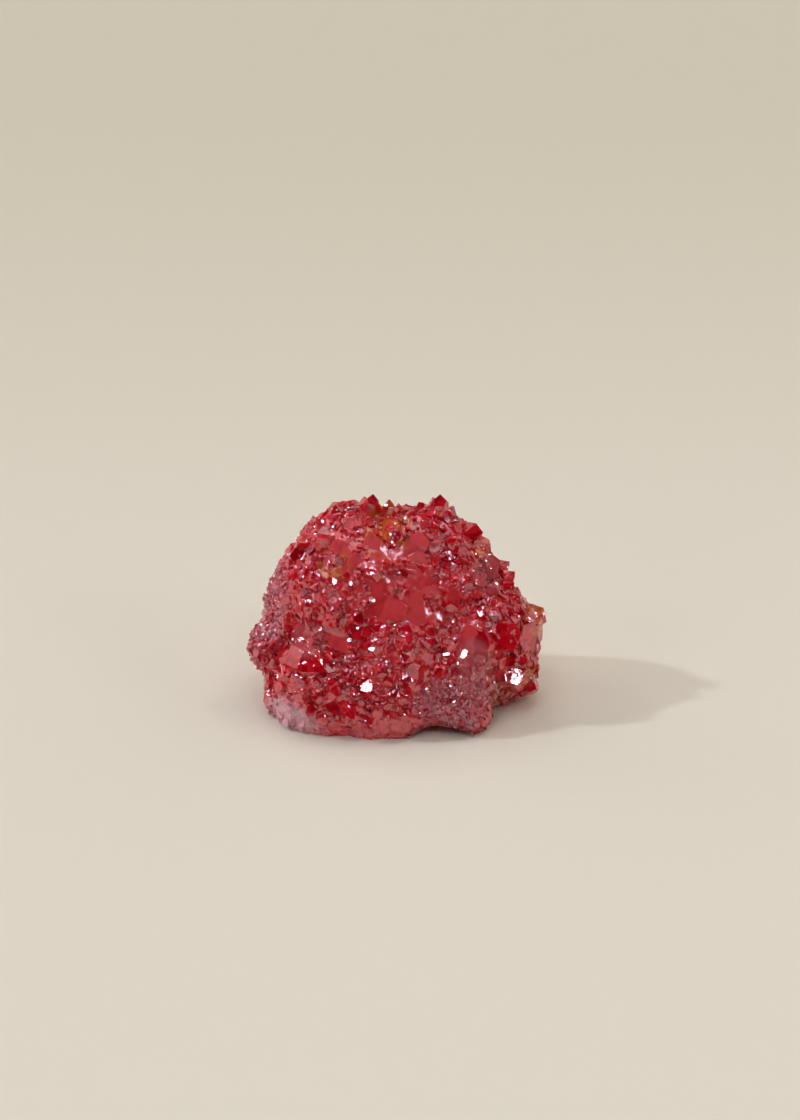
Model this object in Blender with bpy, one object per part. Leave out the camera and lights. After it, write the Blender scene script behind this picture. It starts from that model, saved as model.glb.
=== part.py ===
"""A palm-sized chunk of coated quartz druse: massive quartz, overgrown with six-sided points.

Everything is one grown piece, so it is one solid: a lumpy body, the points that stand out of it,
and a base broken flat, with a low arch under its front edge. Sizes are in millimetres until the
mesh is made. X runs to the right, Y to the back and Z up, and the origin is at the middle of
the footprint, on the surface that the chunk rests on.
"""

import math
from typing import NamedTuple

import bmesh
import bpy
import numpy as np
from mathutils import Matrix

MM = 0.001
NODE = "geode"
SEED = 11


class Lump(NamedTuple):
    """One swelling of the body: an ellipsoid, melted into its neighbours."""

    centre: tuple[float, float, float]
    radii: tuple[float, float, float]


class Point(NamedTuple):
    """One quartz point: where it stands on the body, and how it has grown."""

    seat: np.ndarray  # on the body's surface
    axis: np.ndarray  # unit vector, root to tip
    width: float  # across two opposite edges
    height: float  # tip above the seat
    minor: float  # 0: six equal tip faces, 1: only the three major ones
    roll: float  # turn about its own axis, in radians


class Landmark(NamedTuple):
    """A point that gives the chunk its face, placed by hand."""

    ray: tuple[float, float, float]  # from the heart, through its seat
    axis: tuple[float, float, float]  # root to tip
    facing: tuple[float, float, float]  # where one major tip face looks
    width: float
    height: float
    minor: float


class Growth(NamedTuple):
    """One generation of points: how big they are and how closely they stand."""

    spacing: float
    width: tuple[float, float]
    rise: tuple[float, float]  # height over width
    lean: tuple[float, float]  # degrees between the axis and the body's normal
    tries: int


LUMPS = (
    Lump((-6.9, 4.0, 19.1), (22.5, 16.5, 19.7)),  # main mass
    Lump((-10.6, 8.0, 29.8), (11.0, 10.5, 11.5)),  # crest, left
    Lump((4.0, 8.0, 29.0), (14.0, 10.5, 12.0)),  # crest, right
    Lump((-15.4, -6.5, 5.5), (13.7, 13.5, 13.0)),  # front left foot
    Lump((-3.0, -9.5, 3.5), (13.5, 11.5, 12.0)),  # front foot
    Lump((17.0, 0.5, 15.0), (12.5, 12.5, 12.5)),  # right shoulder
    Lump((11.0, 4.5, 24.5), (11.0, 11.0, 10.5)),  # upper right shoulder
    Lump((21.4, 0.3, 8.0), (8.7, 9.0, 8.5)),  # right flank
    Lump((10.0, -6.5, 5.5), (10.0, 12.5, 11.5)),  # front right foot
    Lump((15.0, -14.4, 3.0), (4.1, 5.0, 5.0)),  # toe, right of the arch
    Lump((0.0, -6.5, 13.0), (12.0, 11.5, 12.0)),  # front, above the feet
    Lump((0.0, 12.0, 9.0), (23.0, 10.0, 12.5)),  # back
    Lump((-29.6, -2.0, 13.0), (3.4, 4.6, 4.6)),  # left knob
)
MELT = 1.2  # how far the lumps run into each other
HEART = np.array([0.0, 2.0, 16.0])  # every ray from here leaves the body once
MIDDLE = np.array([0.11, 0.72, 0.0])  # of the finished footprint: it becomes the origin
REACH = 60.0
HALVINGS = 30
RIPPLE = 0.35  # waviness of the body's skin
RIPPLE_LENGTH = 7.0

LANDMARKS = (
    Landmark((-0.30, 0.17, 0.94), (0.22, 0.10, 0.97), (0.2, -1.0, 0.4), 4.2, 4.6, 0.3),  # crest left
    Landmark((-0.10, 0.20, 0.96), (0.05, 0.20, 0.98), (0.5, -1.0, 0.2), 2.8, 3.6, 0.2),  # crest middle
    Landmark((0.33, 0.19, 0.93), (0.08, 0.15, 0.98), (0.0, -1.0, 0.3), 4.8, 5.2, 0.2),  # crest right
    Landmark((-0.48, 0.15, 0.86), (-0.20, 0.15, 0.97), (0.0, -1.0, 0.5), 4.0, 2.6, 0.3),  # left of the crest
    Landmark((0.95, -0.29, 0.08), (0.84, -0.45, 0.30), (0.1, -1.0, 0.1), 9.5, 6.0, 0.5),  # right end
    Landmark((0.73, -0.16, 0.67), (0.45, -0.85, -0.28), (0.9, -0.2, 0.4), 5.0, 5.5, 0.4),  # upper right
    Landmark((-0.72, -0.69, -0.04), (0.62, -0.78, 0.08), (0.0, -0.91, 0.42), 8.4, 3.2, 0.3),  # low left
    Landmark((-0.07, -0.03, 1.00), (0.10, -0.97, -0.20), (0.0, -0.3, 0.9), 5.0, 5.0, 0.6),  # below the crest
    Landmark((0.49, -0.03, 0.87), (-0.51, -0.60, 0.62), (0.3, -1.0, 0.1), 5.5, 2.6, 0.6),  # high right
    Landmark((-0.62, -0.07, 0.78), (-0.41, -0.57, 0.72), (0.2, -1.0, 0.1), 6.0, 2.6, 0.6),  # high left
    Landmark((0.91, -0.20, -0.37), (0.60, -0.80, 0.10), (0.1, -0.9, 0.4), 6.0, 3.4, 0.5),  # low right end
    Landmark((0.80, -0.58, 0.14), (-0.10, -0.34, 0.93), (-0.3, -0.95, 0.1), 8.0, 3.4, 0.5),  # upright, right
    Landmark((0.08, -0.18, 0.98), (0.30, -0.52, 0.80), (0.0, -1.0, 0.0), 8.0, 3.0, 0.5),  # centre high
    Landmark((0.13, -0.75, 0.64), (-0.35, -0.45, 0.82), (0.1, -0.95, -0.1), 9.0, 3.4, 0.4),  # centre
    Landmark((-0.39, -0.37, 0.84), (0.30, -0.42, 0.86), (-0.1, -1.0, 0.0), 7.5, 2.8, 0.5),  # centre left
    Landmark((-0.95, -0.29, -0.04), (-0.51, -0.78, 0.36), (-0.3, -0.9, 0.5), 6.0, 2.6, 0.5),  # left end
    Landmark((-0.44, -0.83, -0.34), (0.52, -0.76, -0.30), (0.0, -0.8, 0.5), 3.4, 3.6, 0.4),  # foot blade
    Landmark((-0.54, -0.79, -0.20), (0.54, -0.22, 0.81), (0.0, -1.0, 0.2), 3.6, 2.4, 0.4),  # foot dart
)

GROWTHS = (
    Growth(6.4, (6.5, 8.5), (0.32, 0.42), (25, 55), 900),
    Growth(4.3, (5.0, 6.5), (0.30, 0.46), (10, 55), 4000),
)
BARE = (
    Lump((-22.0, -15.0, 3.0), (8.0, 9.0, 6.0)),  # massive quartz at the front left
    Lump((-6.0, -20.0, 1.5), (15.0, 5.0, 4.0)),  # massive foot of the front
    Lump((11.0, -15.0, 7.5), (8.5, 8.0, 6.0)),  # fine druse over the arch
    Lump((-28.0, 4.0, 21.0), (5.0, 11.0, 10.0)),  # fine druse on the left
    Lump((-30.5, -2.0, 13.0), (5.0, 5.5, 5.5)),  # knob
)
FACING = 0.4  # how far a point's upper face may turn from the body's normal
ROOT = 0.55  # how deep a point is rooted, over its width
LOWEST_SEAT = 3.2
MINOR_FACES = (0.25, 0.8)
TIP_SLOPE = 1.27  # rise over run of a tip face, 51.8 degrees in quartz

BODY_STEPS = 4  # icosphere subdivisions
COATING = (0.42, 0.02, 0.045, 1.0)  # linear colour of the deep red film
COATING_ROUGHNESS = 0.12
COATING_METALLIC = 0.35
ARCH_STEPS = 3
GROUND_DEPTH = 12.0
ARCH = Lump((9.0, -17.5, -1.5), (8.0, 13.5, 4.3))


def implicit(points: np.ndarray) -> np.ndarray:
    """Signed measure of depth: below zero inside the melted lumps."""
    total = np.zeros(len(points))
    for centre, radii in LUMPS:
        reach = np.linalg.norm((points - np.array(centre)) / np.array(radii), axis=1)
        total += np.exp((1.0 - reach) * min(radii) / MELT)
    return -MELT * np.log(total)


def ripples(points: np.ndarray, length: float, seed: int) -> np.ndarray:
    """Smooth unevenness from -1 to 1: the mean of plane waves that run in scattered directions."""
    rng = np.random.default_rng(seed)
    runs = rng.normal(size=(6, 3))
    runs *= 2 * math.pi / length / np.linalg.norm(runs, axis=1)[:, None]
    phases = rng.uniform(0, 2 * math.pi, 6)
    return np.sin(points @ runs.T + phases).mean(axis=1)


def body_surface(rays: np.ndarray) -> np.ndarray:
    """Where unit rays from the heart leave the body, found by halving."""
    low = np.zeros(len(rays))
    high = np.full(len(rays), REACH)
    for _ in range(HALVINGS):
        middle = (low + high) / 2
        inside = implicit(HEART + middle[:, None] * rays) < 0
        low = np.where(inside, middle, low)
        high = np.where(inside, high, middle)
    skin = HEART + low[:, None] * rays
    return skin + RIPPLE * ripples(skin, RIPPLE_LENGTH, SEED)[:, None] * rays


def body_normals(points: np.ndarray) -> np.ndarray:
    """Outward unit normals, from the slope of the implicit measure."""
    step = 0.05
    slope = np.stack(
        [implicit(points + step * axis) - implicit(points - step * axis) for axis in np.eye(3)],
        axis=1,
    )
    return slope / np.linalg.norm(slope, axis=1)[:, None]


def across(axis: np.ndarray) -> tuple[np.ndarray, np.ndarray]:
    """Two unit directions square to a point's axis and to each other."""
    side = np.cross(axis, [0.31, 0.87, 0.39])
    side /= np.linalg.norm(side)
    return side, np.cross(axis, side)


def roll_to_face(axis: np.ndarray, facing: np.ndarray) -> float:
    """The turn about its axis that brings one of a point's major tip faces round to look that way."""
    side, over = across(axis)
    return -math.atan2(over @ facing, side @ facing)


def landmark_points() -> list[Point]:
    """The points placed by hand, seated on the body and turned to face where they look."""
    rays = np.array([mark.ray for mark in LANDMARKS])
    seats = body_surface(rays / np.linalg.norm(rays, axis=1)[:, None])
    grown = []
    for mark, seat in zip(LANDMARKS, seats):
        axis = np.array(mark.axis) / np.linalg.norm(mark.axis)
        roll = roll_to_face(axis, np.array(mark.facing))
        grown.append(Point(seat, axis, mark.width, mark.height, mark.minor, roll))
    return grown


def bare(place: np.ndarray) -> bool:
    """Whether a place lies where no large point has grown."""
    reach = [np.linalg.norm((place - np.array(lump.centre)) / np.array(lump.radii)) for lump in BARE]
    return min(reach) < 1


def scattered_points(grown: list[Point]) -> list[Point]:
    """Points thrown at the body, big ones first, each keeping its distance from those before it."""
    rng = np.random.default_rng(SEED)
    seats = np.array([point.seat for point in grown])
    for growth in GROWTHS:
        rays = rng.normal(size=(growth.tries, 3))
        rays /= np.linalg.norm(rays, axis=1)[:, None]
        places = body_surface(rays)
        normals = body_normals(places)
        sideways = np.cross(normals, rng.normal(size=places.shape))
        sideways /= np.linalg.norm(sideways, axis=1)[:, None]
        tilts = np.radians(rng.uniform(*growth.lean, growth.tries))[:, None]
        axes = np.cos(tilts) * normals + np.sin(tilts) * sideways
        facings = normals + FACING * rng.normal(size=places.shape)
        widths = rng.uniform(*growth.width, growth.tries)
        heights = widths * rng.uniform(*growth.rise, growth.tries)
        minors = rng.uniform(*MINOR_FACES, growth.tries)
        for k in range(growth.tries):
            crowded = len(seats) and np.linalg.norm(seats - places[k], axis=1).min() < growth.spacing
            if crowded or places[k][2] < LOWEST_SEAT or bare(places[k]):
                continue
            seats = np.vstack([seats, places[k]])
            roll = roll_to_face(axes[k], facings[k])
            grown.append(Point(places[k], axes[k], widths[k], heights[k], minors[k], roll))
    return grown


def point_mesh(point: Point) -> tuple[np.ndarray, list[tuple[int, ...]]]:
    """A quartz point's corners and faces.

    Its prism has six sides. Three major tip faces meet at the tip, and three minor ones start
    lower down, between them, at the share `minor` of the way out to the prism's sides.
    """
    radius = point.width / 2
    inner = radius * math.cos(math.pi / 6)
    tip = point.height
    shoulder = tip - TIP_SLOPE * inner
    root = min(shoulder, 0.0) - ROOT * point.width
    half_side = inner * math.tan(math.pi / 6) * (1 - point.minor)
    minor_low = shoulder + TIP_SLOPE * inner * point.minor / 2
    minor_high = tip - TIP_SLOPE * inner * point.minor / 2
    corners = [math.radians(60 * k + 30) for k in range(6)]
    places = [(radius * math.cos(a), radius * math.sin(a), root) for a in corners]
    places += [(radius * math.cos(a), radius * math.sin(a), shoulder) for a in corners]
    for k in (1, 3, 5):
        turn = math.radians(60 * k)
        out = np.array([math.cos(turn), math.sin(turn)])
        along = np.array([-math.sin(turn), math.cos(turn)])
        places.append((*(inner * out - half_side * along), minor_low))
        places.append((*(inner * out + half_side * along), minor_low))
        places.append((*(inner * point.minor * out), minor_high))
    places.append((0.0, 0.0, tip))
    faces: list[tuple[int, ...]] = [(5, 4, 3, 2, 1, 0)]
    top = 21
    for n, k in enumerate((1, 3, 5)):
        right, left, high = 12 + 3 * n, 13 + 3 * n, 14 + 3 * n
        before, after = k - 1, k
        faces.append((before, after, 6 + after, left, right, 6 + before))
        faces.append((right, left, high))
        next_right, next_high = 12 + 3 * ((n + 1) % 3), 14 + 3 * ((n + 1) % 3)
        beyond = (k + 1) % 6
        faces.append((after, beyond, 6 + beyond, 6 + after))
        faces.append((6 + after, 6 + beyond, next_right, next_high, top, high, left))
    side, over = across(point.axis)
    frame = np.stack([side, over, point.axis])
    turn = np.array(Matrix.Rotation(point.roll, 3, "Z"))
    return np.array(places) @ turn @ frame + point.seat, faces


def linked(name: str, mesh: bpy.types.Mesh) -> bpy.types.Object:
    """An object in the scene that shows the mesh."""
    made = bpy.data.objects.new(name, mesh)
    bpy.context.scene.collection.objects.link(made)
    return made


def from_bmesh(name: str, shape: bmesh.types.BMesh) -> bpy.types.Object:
    """The object that a finished bmesh becomes."""
    mesh = bpy.data.meshes.new(name)
    shape.to_mesh(mesh)
    shape.free()
    return linked(name, mesh)


def body() -> bpy.types.Object:
    """The lumpy mass that the points grow from: an icosphere pushed out to the body's skin."""
    shape = bmesh.new()
    bmesh.ops.create_icosphere(shape, subdivisions=BODY_STEPS, radius=1.0)
    rays = np.array([corner.co for corner in shape.verts])
    rays /= np.linalg.norm(rays, axis=1)[:, None]
    for corner, place in zip(shape.verts, (body_surface(rays) - MIDDLE) * MM):
        corner.co = place
    return from_bmesh(NODE, shape)


def guide(made: bpy.types.Object) -> bpy.types.Object:
    """Marks a helper that only cuts or joins."""
    made.hide_render = True
    made.display_type = "WIRE"
    return made


def all_points() -> bpy.types.Object:
    """Every quartz point, in one helper mesh."""
    places: list[np.ndarray] = []
    faces: list[tuple[int, ...]] = []
    count = 0
    for point in scattered_points(landmark_points()):
        corners, sides = point_mesh(point)
        places.append((corners - MIDDLE) * MM)
        faces += [tuple(count + k for k in side) for side in sides]
        count += len(corners)
    mesh = bpy.data.meshes.new("points")
    mesh.from_pydata(np.vstack(places).tolist(), [], faces)
    return guide(linked("points", mesh))


def arch() -> bpy.types.Object:
    """The hollow that lifts the front edge off the ground, as an ellipsoid cutter."""
    shape = bmesh.new()
    bmesh.ops.create_icosphere(shape, subdivisions=ARCH_STEPS, radius=1.0)
    bmesh.ops.scale(shape, vec=[radius * MM for radius in ARCH.radii], verts=shape.verts)
    bmesh.ops.translate(shape, vec=(np.array(ARCH.centre) - MIDDLE) * MM, verts=shape.verts)
    return guide(from_bmesh("arch", shape))


def ground() -> bpy.types.Object:
    """A slab under the resting surface, which breaks the base flat."""
    shape = bmesh.new()
    side, depth = 2 * REACH * MM, GROUND_DEPTH * MM
    bmesh.ops.create_cube(shape, size=1.0)
    bmesh.ops.scale(shape, vec=(side, side, depth), verts=shape.verts)
    bmesh.ops.translate(shape, vec=(0, 0, -depth / 2), verts=shape.verts)
    return guide(from_bmesh("ground", shape))


def combine(target: bpy.types.Object, tool: bpy.types.Object, operation: str) -> None:
    """Adds one Boolean to the target. The points also cross each other, so a union joins those too."""
    step = target.modifiers.new(tool.name, "BOOLEAN")
    step.operation = operation
    step.object = tool
    step.use_self = operation == "UNION"


def coating() -> bpy.types.Material:
    """The thin metallic film over the quartz."""
    film = bpy.data.materials.new("coated quartz")
    film.use_nodes = True
    shader = film.node_tree.nodes["Principled BSDF"]
    shader.inputs["Base Color"].default_value = COATING
    shader.inputs["Roughness"].default_value = COATING_ROUGHNESS
    shader.inputs["Metallic"].default_value = COATING_METALLIC
    return film


def main() -> None:
    """Joins the body and its points into one solid and breaks it off flat."""
    for old in list(bpy.data.objects):
        bpy.data.objects.remove(old)
    chunk = body()
    chunk.data.materials.append(coating())
    combine(chunk, all_points(), "UNION")
    combine(chunk, ground(), "DIFFERENCE")
    combine(chunk, arch(), "DIFFERENCE")


if __name__ == "__main__":
    main()
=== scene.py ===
"""Looks of a palm-sized chunk of coated quartz druse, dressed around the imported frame.

The chunk is one grown piece. Its massive body is a melt of ellipsoid lumps. Quartz points of
several generations stand on it, big ones first and fine druse last, and all of it is fused into
one closed skin and broken off flat below. A thin red metallic film coats everything. Sizes are in
millimetres until a mesh is written. X runs to the right, Y to the back and Z up.
"""

import logging
import math
from collections import defaultdict
from collections.abc import Iterator
from dataclasses import dataclass, field
from enum import Enum

import bmesh
import bpy
import numpy as np
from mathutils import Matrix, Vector

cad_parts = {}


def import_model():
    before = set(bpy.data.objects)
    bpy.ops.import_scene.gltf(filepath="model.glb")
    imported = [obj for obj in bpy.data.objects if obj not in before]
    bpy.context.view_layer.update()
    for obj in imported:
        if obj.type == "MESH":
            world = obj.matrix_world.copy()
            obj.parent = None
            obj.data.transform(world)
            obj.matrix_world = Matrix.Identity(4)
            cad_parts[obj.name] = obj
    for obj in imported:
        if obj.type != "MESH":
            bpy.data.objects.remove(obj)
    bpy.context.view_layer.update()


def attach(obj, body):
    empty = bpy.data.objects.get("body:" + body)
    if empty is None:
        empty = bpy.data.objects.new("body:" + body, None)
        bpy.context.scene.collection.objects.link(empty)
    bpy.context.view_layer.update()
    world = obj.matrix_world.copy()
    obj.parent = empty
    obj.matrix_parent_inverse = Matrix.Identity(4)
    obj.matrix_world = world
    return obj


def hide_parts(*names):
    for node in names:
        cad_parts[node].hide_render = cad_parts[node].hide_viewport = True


LOG = logging.getLogger("chunk")
MM = 0.001
MIDDLE = np.array([0.11, 0.72, 0.0])  # of the finished footprint: it becomes the origin
SIDES = 6  # of a quartz prism
TURN = 360 // SIDES  # degrees from one side to the next
INSET = math.cos(math.radians(TURN / 2))  # a side's distance from the axis over a corner's
TIP_SLOPE = 1.27  # rise over run of a tip face, 51.8 degrees in quartz
ASKEW = (0.31, 0.87, 0.39)  # a direction that no point's axis follows
BOTTOM = tuple(range(SIDES - 1, -1, -1))  # the face at a point's root

Triple = tuple[float, float, float]
Colour = tuple[float, float, float, float]
Span = tuple[float, float]
Faces = list[tuple[int, ...]]
Block = tuple[np.ndarray, Faces]
Socket = bpy.types.NodeSocket
Sockets = bpy.types.NodeOutputs


class Fuse(Enum):
    """How two closed meshes are combined."""

    UNION = "UNION"
    DIFFERENCE = "DIFFERENCE"


class Habit(Enum):
    """How a quartz point ends."""

    TRIGONAL = "three large and three small tip faces"
    SIMPLE = "six tip faces that meet off centre"
    OBLIQUE = "one tip face that outgrew the others"


class Polish(Enum):
    """How evenly a crystal face reflects, as the number that it carries for the material."""

    KEEN = -0.75
    PLAIN = 0.0
    SATIN = 1.0


class Flash(Enum):
    """Which way a face looks when it sends one of the small bright windows to the front."""

    LOW_LEFT = (-0.41, -0.74, 0.53)
    LEFT = (-0.12, -0.81, 0.58)
    HIGH_LEFT = (-0.15, -0.70, 0.70)
    HIGH = (0.04, -0.69, 0.73)
    RIGHT = (0.17, -0.77, 0.61)
    LOW_RIGHT = (0.43, -0.75, 0.50)
    BACK = (0.29, -0.43, 0.85)


HABITS = tuple(Habit)


def unit(vectors: np.ndarray) -> np.ndarray:
    """Vectors scaled to length one, along their last axis."""
    return vectors / np.linalg.norm(vectors, axis=-1, keepdims=True)


def ripples(points: np.ndarray, length: float, seed: int, waves: int = 6) -> np.ndarray:
    """Smooth unevenness: the mean of plane waves that run in scattered directions.

    Args:
        points: places, one to a row.
        length: the waves' length.
        seed: what the directions and the phases are drawn from.
        waves: how many waves there are.

    Returns:
        A number from -1 to 1 for each place.
    """
    rng = np.random.default_rng(seed)
    runs = unit(rng.normal(size=(waves, 3))) * 2 * math.pi / length
    phases = rng.uniform(0, 2 * math.pi, waves)
    return np.sin(points @ runs.T + phases).mean(axis=1)


def column(rows: tuple, name: str) -> np.ndarray:
    """One field of every row, as an array."""
    return np.array([getattr(row, name) for row in rows])


def mesh_object(name: str, places: np.ndarray, faces: Faces) -> bpy.types.Object:
    """An object at the origin, its mesh moved so that MIDDLE comes to the origin too.

    Args:
        name: the object's and the mesh's name.
        places: the corners, one to a row.
        faces: each face's corners, anticlockwise as seen from outside.

    Returns:
        The object, linked to the scene.
    """
    mesh = bpy.data.meshes.new(name)
    mesh.from_pydata(((places - MIDDLE) * MM).tolist(), [], faces)
    mesh.update()
    made = bpy.data.objects.new(name, mesh)
    bpy.context.scene.collection.objects.link(made)
    return made


def mark_faces(made: bpy.types.Object, name: str, values: np.ndarray) -> None:
    """Gives every face a number that materials can read."""
    attribute = made.data.attributes.new(name, "FLOAT", "FACE")
    attribute.data.foreach_set("value", values.astype(np.float32))


def fuse(target: bpy.types.Object, tool: bpy.types.Object, how: Fuse) -> None:
    """Combines two closed meshes, writes the result into the target and removes the tool.

    Args:
        target: the object that is added to or cut.
        tool: the object that is joined on or cut away.
        how: which of the two.
    """
    step = target.modifiers.new(tool.name, "BOOLEAN")
    step.operation = how.value
    step.object = tool
    step.solver = "MANIFOLD"
    graph = bpy.context.evaluated_depsgraph_get()
    fused = bpy.data.meshes.new_from_object(target.evaluated_get(graph))
    target.modifiers.clear()
    old = target.data
    target.data = fused
    fused.name = target.name
    bpy.data.meshes.remove(old)
    spent = tool.data
    bpy.data.objects.remove(tool)
    bpy.data.meshes.remove(spent)


@dataclass(frozen=True)
class Lump:
    """An ellipsoid: a swelling of the body, a hollow, or the patch where something is so."""

    centre: Triple
    radii: Triple

    def reach(self, points: np.ndarray) -> np.ndarray:
        """Distance from the centre over the radius: 1 on the ellipsoid's skin."""
        return np.linalg.norm((points - np.array(self.centre)) / np.array(self.radii), axis=-1)


MASSIVE = (
    Lump((-23.0, -15.5, 2.0), (7.0, 8.0, 5.5)),  # milky quartz at the front left
    Lump((-6.0, -20.5, 0.5), (16.0, 6.0, 5.0)),  # foot of the front
)
FINE = (
    Lump((11.0, -16.0, 6.5), (9.0, 8.0, 6.5)),  # over the arch
    Lump((-27.8, 3.0, 21.0), (5.2, 11.0, 12.5)),  # left edge
    Lump((-30.5, -2.0, 13.0), (5.0, 5.5, 5.5)),  # knob
    Lump((-26.0, 2.0, 5.0), (6.0, 12.0, 8.0)),  # left foot
)
CALM = (
    Lump((-3.5, -3.5, 35.5), (9.0, 5.0, 2.8)),  # band under the crest
    Lump((1.5, -9.0, 28.5), (12.5, 5.5, 6.2)),  # middle of the front
    Lump((-13.5, -12.0, 20.0), (3.6, 3.5, 2.6)),  # left of the middle, low
    Lump((15.0, -11.5, 18.5), (3.0, 4.0, 5.5)),  # pillar right of the middle
)
ISLANDS = (
    Lump((-0.4, -5.4, 33.9), (3.8, 3.0, 1.4)),  # small points within the calm
    Lump((-1.0, -9.1, 29.9), (2.8, 3.0, 1.2)),
    Lump((-9.5, -10.0, 29.0), (3.2, 3.0, 3.0)),
    Lump((7.5, -7.3, 27.2), (2.2, 3.0, 2.8)),
    Lump((-8.0, -4.0, 36.5), (2.2, 2.5, 1.3)),
    Lump((-9.5, -8.0, 32.3), (2.4, 2.5, 1.2)),
)
GOLD = (
    Lump((-3.0, 2.0, 39.0), (5.0, 12.0, 5.0)),  # crest
    Lump((30.5, -4.0, 20.5), (4.5, 8.0, 3.6)),  # top of the right end
    Lump((17.5, 3.0, 34.5), (3.5, 7.0, 2.6)),  # upper right edge
    Lump((28.0, -8.0, 7.5), (4.0, 6.0, 4.0)),  # low right edge
    Lump((-14.0, -4.0, 34.0), (4.0, 7.0, 3.0)),  # high left
)
VIOLET = (
    Lump((16.0, -13.0, 14.0), (4.0, 6.0, 6.0)),  # haze right of the middle
    Lump((19.0, -3.0, 30.5), (3.5, 6.0, 4.0)),  # dark prism
    Lump((-20.0, -12.0, 19.0), (4.0, 5.0, 4.0)),  # glinting left
)
QUIET = MASSIVE + FINE + CALM  # where no large points grow
# painted shade: the roof of the arch's hollow is painted dark red, for the shade under the overhang
ARCH_PAINTED_SHADE = Lump((9.0, -17.5, -1.5), (9.2, 15.5, 5.2))
RUST_CORNER = Lump((20.5, -9.0, 4.5), (4.5, 7.0, 4.5))  # broken corner at the lower right


@dataclass(frozen=True)
class Landmark:
    """A quartz point listed one by one, because it gives the chunk its face.

    The ray runs from the body's heart to its seat. One of its three major tip faces looks the
    way of `facing`, and `minor` is how much of the tip its other three faces take.
    """

    ray: Triple
    axis: Triple
    facing: Triple
    width: float
    height: float
    minor: float


@dataclass(frozen=True)
class Plate:
    """A point with one broad tip face, placed so that this face catches the eye.

    The face looks along `normal` and the point leans over to the side of `lean`. The face's
    middle stands `proud` of the body, and `steep` is its share of a full tip face's slope.
    """

    ray: Triple
    normal: Triple
    lean: Triple
    width: float
    proud: float = 0.3
    steep: float = 0.4
    stretch: float = 1.0


@dataclass(frozen=True)
class Growth:
    """One generation of points: how big they are, how they lean and how closely they stand.

    Widths are in millimetres, `rise` is the height over the width, and `lean` is in degrees from
    the body's normal. Of the tries, those keep a place that lie above `lowest`, in one of the
    patches if there are any, outside all that are to be avoided, and at this spacing or more.
    """

    name: str
    spacing: float
    width: Span
    rise: Span
    lean: Span
    tries: int
    lowest: float
    habits: tuple[Habit, ...]
    patches: tuple[Lump, ...] = ()
    avoid: tuple[Lump, ...] = ()


@dataclass(frozen=True)
class Rise:
    """A smooth rise: what goes in between low and high comes out between start and end."""

    low: float
    high: float
    start: float = 0.0
    end: float = 1.0


@dataclass
class Points:
    """Quartz points held as arrays with one row for each point.

    A point stands on its seat along its axis. Its width runs from corner to corner, and its
    height from the seat to the tip. Roll turns it about its axis, in radians, and stretch widens
    it towards its first side. Sides are six shares of the even distance from axis to side, and
    the habit is a place in HABITS.
    """

    seat: np.ndarray
    axis: np.ndarray
    width: np.ndarray
    height: np.ndarray
    minor: np.ndarray
    roll: np.ndarray
    stretch: np.ndarray
    sides: np.ndarray
    polish: np.ndarray
    habit: np.ndarray

    def __len__(self) -> int:
        """The number of points."""
        return len(self.seat)

    def picked(self, rows: np.ndarray) -> "Points":
        """The points in these rows."""
        return Points(*(getattr(self, name)[rows] for name in self.__dataclass_fields__))

    @staticmethod
    def joined(groups: list["Points"]) -> "Points":
        """All the groups' points in one set."""
        names = Points.__dataclass_fields__
        return Points(*(np.concatenate([getattr(group, name) for group in groups]) for name in names))

    def foot(self) -> np.ndarray:
        """Where the prism's sides end at their lowest: the height less what the tip takes.

        Returns:
            The height above the seat, below zero if sunk.
        """
        inner = self.width / 2 * INSET
        oblique = self.habit == HABITS.index(Habit.OBLIQUE)
        return self.height - TIP_SLOPE * np.where(oblique, self.minor * self.width, inner)

    def frames(self) -> np.ndarray:
        """The directions that each point's own coordinates run in, turned by its roll.

        Returns:
            A matrix for each point, whose rows are its side, over and axis directions.
        """
        side, over = across(self.axis)
        cos, sin = np.cos(self.roll)[:, None], np.sin(self.roll)[:, None]
        return np.stack([cos * side - sin * over, sin * side + cos * over, self.axis], axis=1)


def across(axes: np.ndarray) -> tuple[np.ndarray, np.ndarray]:
    """Two unit directions square to each axis and to each other."""
    side = unit(np.cross(axes, ASKEW))
    return side, np.cross(axes, side)


def roll_to_face(axes: np.ndarray, facings: np.ndarray) -> np.ndarray:
    """The turn about its axis that brings one of a point's major tip faces round to look that way."""
    side, over = across(axes)
    return -np.arctan2((over * facings).sum(axis=-1), (side * facings).sum(axis=-1))


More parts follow.
